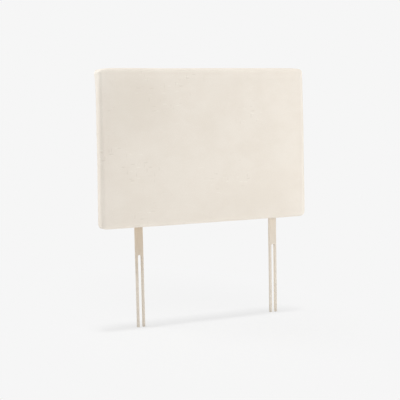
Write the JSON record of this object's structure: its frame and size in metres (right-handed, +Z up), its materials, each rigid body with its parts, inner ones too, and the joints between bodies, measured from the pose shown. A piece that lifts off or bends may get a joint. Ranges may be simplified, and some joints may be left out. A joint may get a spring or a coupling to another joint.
{
  "type": "headboard",
  "caption": "Padded headboard in cream brushed cloth on slotted wooden struts that bolt to a bed base.",
  "frame": {"origin": "on the floor between the struts, in the middle of the whole width and the whole depth", "axes": "+Z up; the padded face looks towards -Y and the struts are on the +Y side; +X is to the right seen from the front"},
  "size_m": [1, 0.0834, 1.16],
  "materials": {
    "cover_cloth": "cream brushed cloth with a short nap, slightly mottled",
    "wadding": "white soft wadding",
    "foam": "pale yellow open-cell foam",
    "hardboard": "brown hardboard, smooth",
    "pine": "planed softwood, unfinished",
    "dowel_wood": "turned beech, unfinished",
    "backing_cloth": "dark non-woven cloth, thin",
    "strut_wood": "pale planed wood, unfinished",
    "zinc_steel": "bright zinc-plated steel"
  },
  "bodies": {
    "root": {"fabric_cover": "cover_cloth", "wadding": "wadding", "foam_pad": "foam", "facing_board": "hardboard", "top_rail": "pine", "bottom_rail": "pine", "left_stile": "pine", "right_stile": "pine", "centre_batten": "pine", "left_strut_batten": "pine", "right_strut_batten": "pine", "frame_dowels": "dowel_wood", "corner_blocks": "pine", "backing_cloth": "backing_cloth", "left_strut": "strut_wood", "right_strut": "strut_wood", "strut_bolts": "zinc_steel", "strut_washers": "zinc_steel", "tee_nuts": "zinc_steel"}
  },
  "joints": []
}
